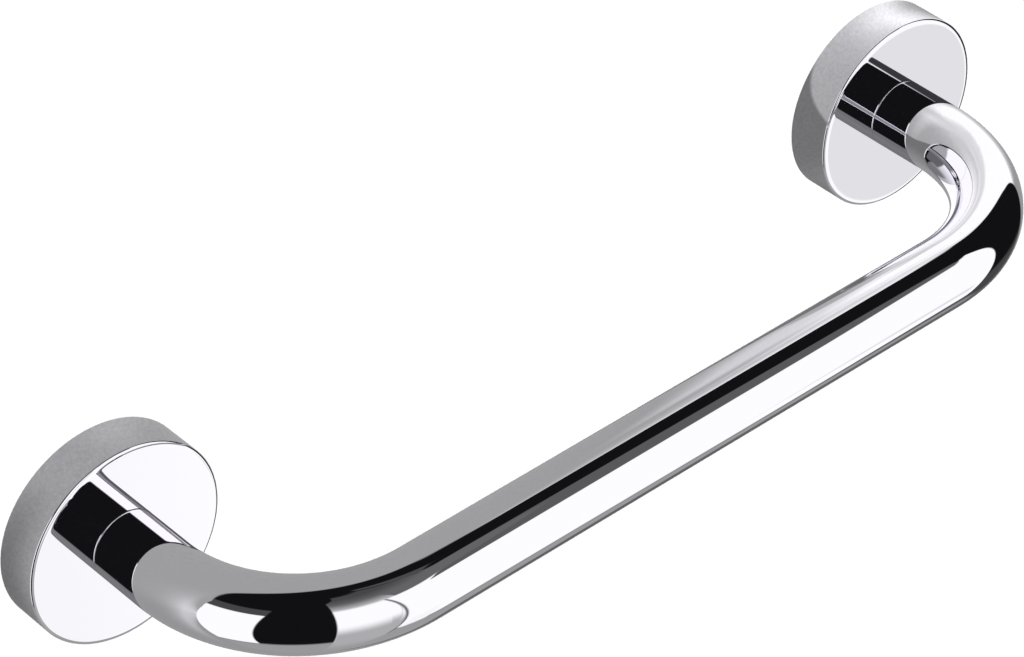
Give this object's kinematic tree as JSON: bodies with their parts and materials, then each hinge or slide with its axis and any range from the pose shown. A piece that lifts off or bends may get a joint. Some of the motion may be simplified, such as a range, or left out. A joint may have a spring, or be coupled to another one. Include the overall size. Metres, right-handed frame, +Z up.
{
  "type": "grab bar",
  "caption": "Wall-mounted bath grab bar: a polished chrome tube bent square at its ends, standing on round rosettes that hide the wall plates and screws.",
  "frame": {"origin": "on the wall plane, midway between the rosettes, at the centre of the wall screw pattern", "axes": "+X along the bar, +Y into the wall, +Z up; the bar stands out towards -Y"},
  "size_m": [0.364, 0.0916, 0.064],
  "materials": {
    "polished_chrome": "mirror chrome plate on brass",
    "rosette_chrome": "mirror chrome plate on turned brass",
    "turned_brass": "turned",
    "zinc_plated_steel": "zinc plated",
    "stainless_steel": "plain stainless"
  },
  "bodies": {
    "root": {"bar_tube": "polished_chrome", "left_rosette": "rosette_chrome", "right_rosette": "rosette_chrome", "left_end_plug": "turned_brass", "right_end_plug": "turned_brass", "left_wall_plate": "zinc_plated_steel", "right_wall_plate": "zinc_plated_steel", "clamp_screws": "stainless_steel", "plain_washers": "stainless_steel", "spring_washers": "stainless_steel", "grub_screws": "stainless_steel"}
  },
  "joints": []
}
